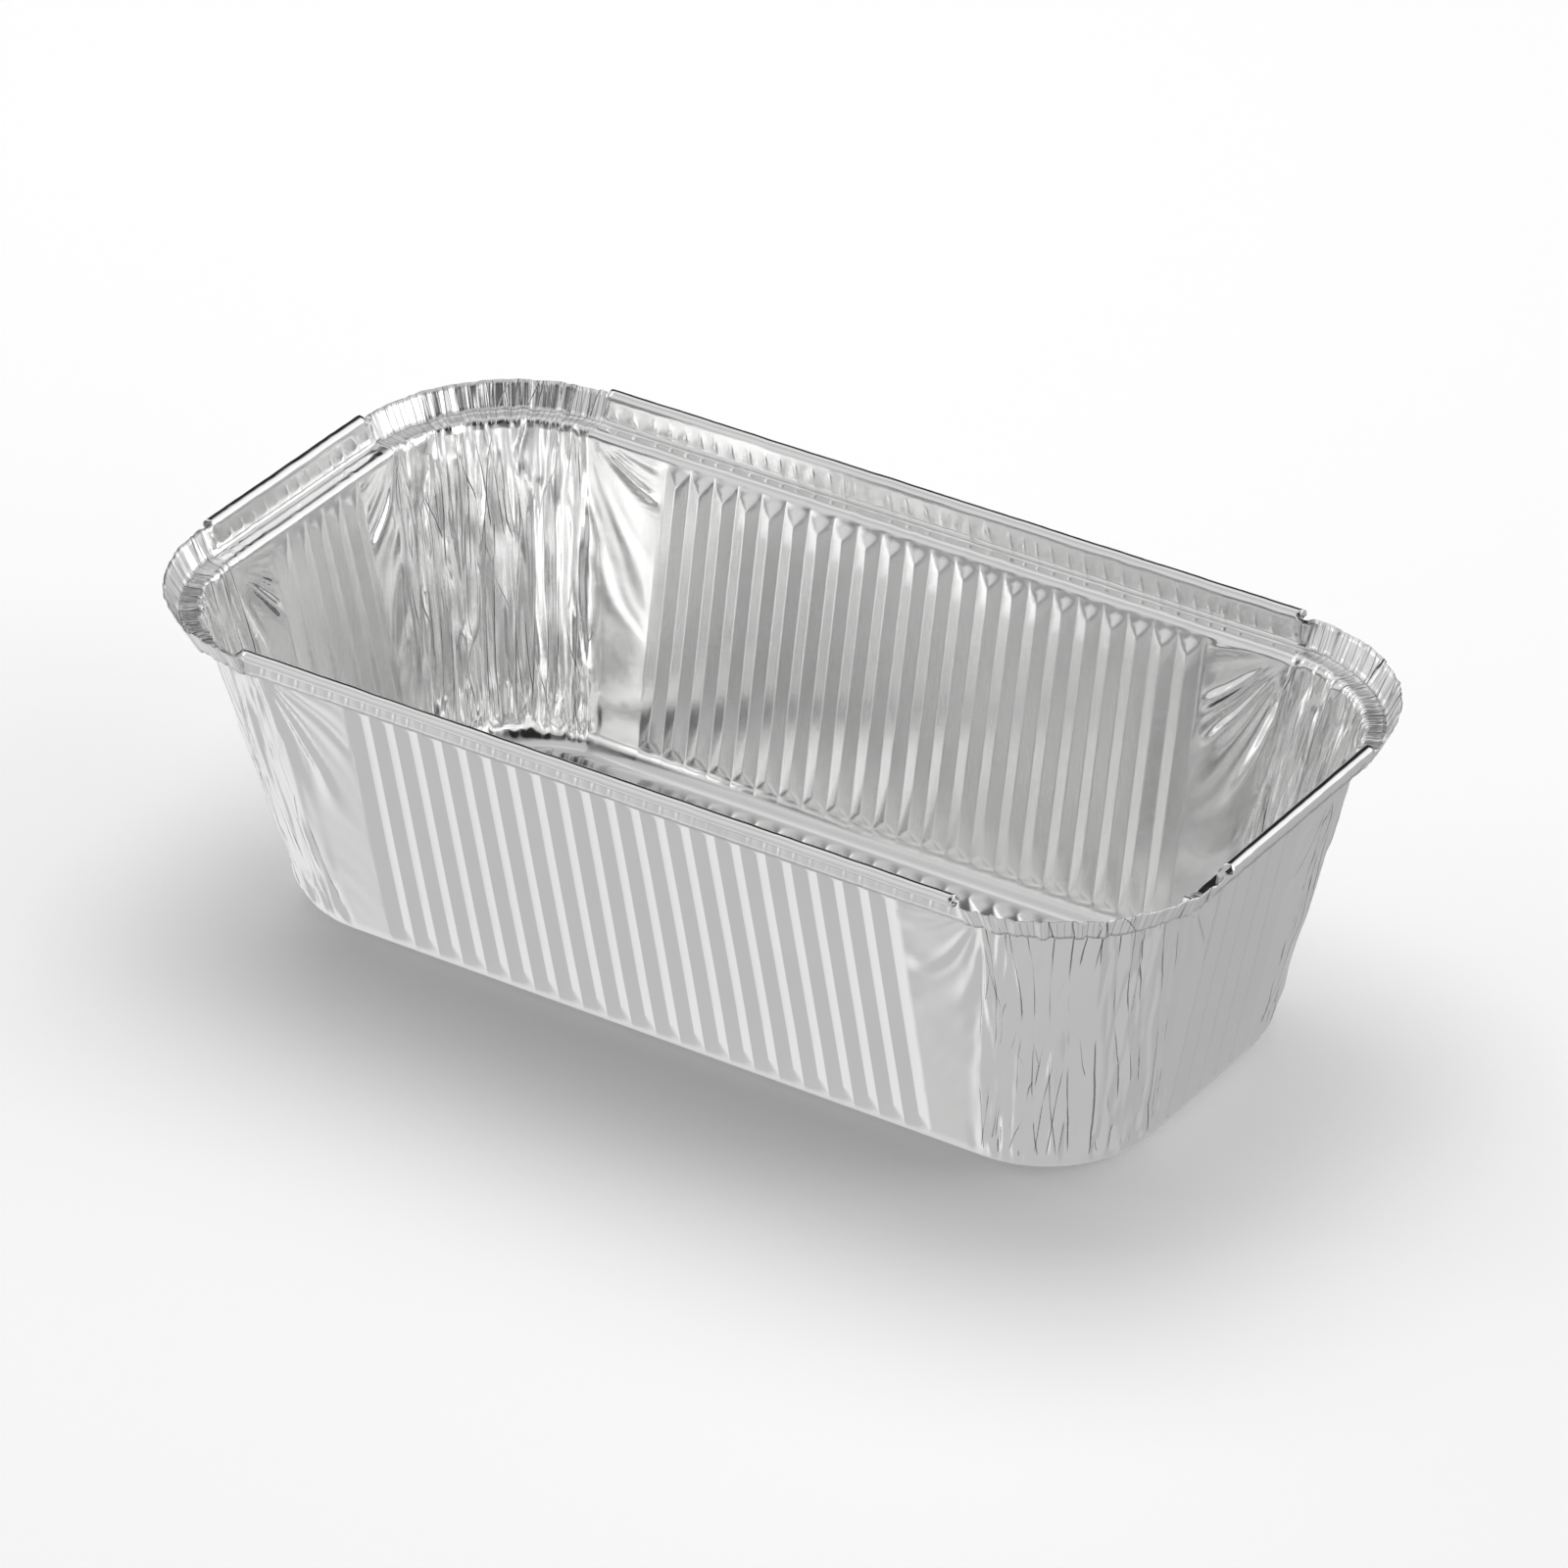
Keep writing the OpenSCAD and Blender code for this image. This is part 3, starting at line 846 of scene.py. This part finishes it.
def bright_foil():
    """Bright rolled aluminium foil: a faint grain along the sheet, fine wrinkles where the corners
    are gathered, slightly duller, uneven patches, and painted shade along the creases of the folds
    and pleats."""
    finish = bpy.data.materials.new("bright_foil")
    tree = Tree(finish)
    place = tree.node("ShaderNodeTexCoord").outputs["Object"]
    sheet = tree.node("ShaderNodeUVMap", {"uv_map": "sheet"}).outputs["UV"]
    crumple = tree.mark("crumple")
    grain = tree.noise(tree.stretched(place, (60, 2600, 2600)), 1.0, 1.0)
    cloud = tree.noise(place, 55.0, 3.0)
    broken = tree.noise(place, 62.0, 1.0)
    flange = tree.mark("flange")
    wrinkle = tree.noise(tree.stretched(sheet, (1300, 170, 0)), 1.0, 2.0, 0.6, 0.4)
    ripple = tree.noise(place, 210.0, 2.0, 0.5)
    sway = tree.noise(sheet, 260.0, 1.0)
    # The creases of the edge pleats and of the corner folds are bumped in, and the colour below
    # darkens them as painted shade.
    creases_and_painted_shade = tree.crease(tree.mark("pleat"), 0.07) * flange * (0.2 + 0.7 * cloud)
    for i, width in enumerate(FOLD_LINES):
        across = tree.mark(f"fold_{i}") + 0.05 * sway
        some = tree.soft_step(tree.mark(f"fold_{i}_depth") * (0.35 + broken), 0.72, 0.96)
        creases_and_painted_shade = tree.crease(across, width) * some + creases_and_painted_shade
    pleats = tree.noise(tree.stretched(sheet, (2300, 60, 0)), 1.0, 1.0) * flange
    dents = tree.crease(tree.mark("dent_row"), 0.17) * tree.mark("dent")
    calm = 1 - 0.75 * tree.mark("rim")
    height = (grain * 0.03 + ripple * 0.16) * calm + crumple * wrinkle * 0.13 + pleats * 0.9
    fan = (tree.mark("fan") * FULL_TURN).math("COSINE") * tree.mark("fan_depth")
    height = height + dents * 0.8 + fan * 2.6 - creases_and_painted_shade * 0.9
    normal = tree.node("ShaderNodeBump", None, {
        "Strength": 1.0, "Distance": BUMP_DEPTH, "Height": height}).outputs[0]
    tint = tree.blend(cloud.clamped(), DULL_METAL, BRIGHT_METAL)
    # Painted shade: along the creases the colour darkens towards near black, as if shade lay in
    # them.
    tint = tree.blend((creases_and_painted_shade * 0.85).clamped(), tint, PAINTED_FOLD_SHADE)
    rough = 0.07 + tree.mark("fluted") * 0.07 + flange * 0.18 + cloud * 0.06 + grain * 0.04
    tree.finish(tree.node("ShaderNodeBsdfPrincipled", None, {
        "Base Color": tint, "Metallic": 1.0, "Roughness": rough, "Normal": normal}))
    return finish


def pale_floor():
    """A plain pale surface for the pan to stand on."""
    half = 3.0
    mesh = bpy.data.meshes.new("floor")
    corners = [(-half, -half, 0), (half, -half, 0), (half, half, 0), (-half, half, 0)]
    mesh.from_pydata(corners, [], [(0, 1, 2, 3)])
    floor = bpy.data.objects.new("floor", mesh)
    bpy.context.scene.collection.objects.link(floor)
    floor.visible_glossy = False
    finish = bpy.data.materials.new("pale_floor")
    mesh.materials.append(finish)
    tree = Tree(finish)
    tree.finish(tree.node("ShaderNodeBsdfPrincipled", None, {
        "Base Color": (0.9, 0.9, 0.9, 1), "Roughness": 0.7}))


# Where the lights point, in metres.
PAN_MIDDLE = (0, 0, 0.03)


def soft_light(name, place, size, power):
    """A soft studio light, size metres wide and high, that points at the pan."""
    lamp = bpy.data.lights.new(name, "AREA")
    lamp.shape = "RECTANGLE"
    lamp.size, lamp.size_y = size
    lamp.energy = power
    light = bpy.data.objects.new(name, lamp)
    light.location = place
    aim = Vector(PAN_MIDDLE) - Vector(place)
    light.rotation_euler = aim.to_track_quat("-Z", "Y").to_euler()
    bpy.context.scene.collection.objects.link(light)
    return light


def compass(turn, lift):
    """The direction a turn to the right of the front and a lift above the floor point to."""
    turn, lift = math.radians(turn), math.radians(lift)
    return (math.sin(turn) * math.cos(lift), -math.cos(turn) * math.cos(lift), math.sin(lift))


# The grey of the surround, and what brightens or dims it: turn and lift of the middle in
# degrees, the cosines where it starts and is full, and by how much.
SURROUND_LEVEL = 0.57
SURROUND = (
    (16, 34, 0.77, 0.94, -0.44),
    (-40, 14, 0.80, 0.98, 0.16),
    (-150, 18, 0.80, 0.95, -0.66),
    (100, 18, 0.74, 0.94, 0.84),
    (155, 30, 0.84, 0.97, 0.46),
    (-100, 26, 0.85, 0.97, 0.32),
    (-120, 50, 0.84, 0.97, 0.22),
    (55, 52, 0.80, 0.96, -0.25),
    (-175, 22, 0.88, 0.98, -0.25),
    (-90, -32, 0.74, 0.96, 0.30),
    (150, -35, 0.70, 0.95, -0.09),
    (0, -90, 0.64, 0.94, -0.02),
)


def studio():
    """A soft surround with brighter and dimmer sides, and large soft lights."""
    world = bpy.data.worlds.new("surround")
    bpy.context.scene.world = world
    tree = Tree(world)
    place = tree.node("ShaderNodeTexCoord").outputs["Generated"]
    height = tree.facing(place, (0, 0, 1))
    level = SURROUND_LEVEL
    for turn, lift, start, full, amount in SURROUND:
        facing = tree.facing(place, compass(turn, lift))
        level = level + amount * tree.soft_step(facing, start, full)
    band = tree.soft_step(height, -0.12, 0.0) * (1 - tree.soft_step(height, 0.02, 0.1))
    level = (level * (1 - 0.2 * band)).math("MAXIMUM", 0.02)
    grey = tree.node("ShaderNodeCombineColor", None,
                     {"Red": level, "Green": level, "Blue": level}).outputs[0]
    tree.finish(tree.node("ShaderNodeBackground", None, {"Color": grey, "Strength": 1.0}),
                "ShaderNodeOutputWorld")
    overhead = soft_light("overhead", (-0.3, 0.4, 1.5), (1.3, 1.3), 14)
    overhead.visible_glossy = False
    soft_light("left_side", (-1.4, -0.5, 0.8), (0.4, 1.0), 1.6)
    soft_light("right_side", (1.3, 0.5, 0.7), (0.4, 1.0), 1.6)


# The camera: its angles round the pan in degrees, its place in metres and its lens.
CAMERA_ANGLES = (34.368, 31.404, -0.722)
CAMERA_PLACE = (0.87255, -1.27327, 0.98284)
LENS = 201.0
SENSOR = 36.0


def photo_camera():
    """The camera at the photograph's viewing angle."""
    azimuth, elevation, roll = (math.radians(angle) for angle in CAMERA_ANGLES)
    back = Vector((math.sin(azimuth) * math.cos(elevation),
                   -math.cos(azimuth) * math.cos(elevation), math.sin(elevation)))
    level = Vector((math.cos(azimuth), math.sin(azimuth), 0))
    upright = back.cross(level)
    right = level * math.cos(roll) + upright * math.sin(roll)
    up = upright * math.cos(roll) - level * math.sin(roll)
    lens = bpy.data.cameras.new("camera")
    lens.lens = LENS
    lens.sensor_width = SENSOR
    lens.clip_start, lens.clip_end = 0.1, 20
    camera = bpy.data.objects.new("camera", lens)
    turn = Matrix((right, up, back)).transposed().to_4x4()
    camera.matrix_world = Matrix.Translation(CAMERA_PLACE) @ turn
    bpy.context.scene.collection.objects.link(camera)
    bpy.context.scene.camera = camera


photo_camera()
bpy.context.scene.view_settings.view_transform = "Standard"
studio()
pale_floor()
foil = shape_foil()
pan = pan_object(foil)
pan.data.materials.append(bright_foil())
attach(pan, "root")
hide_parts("pan")
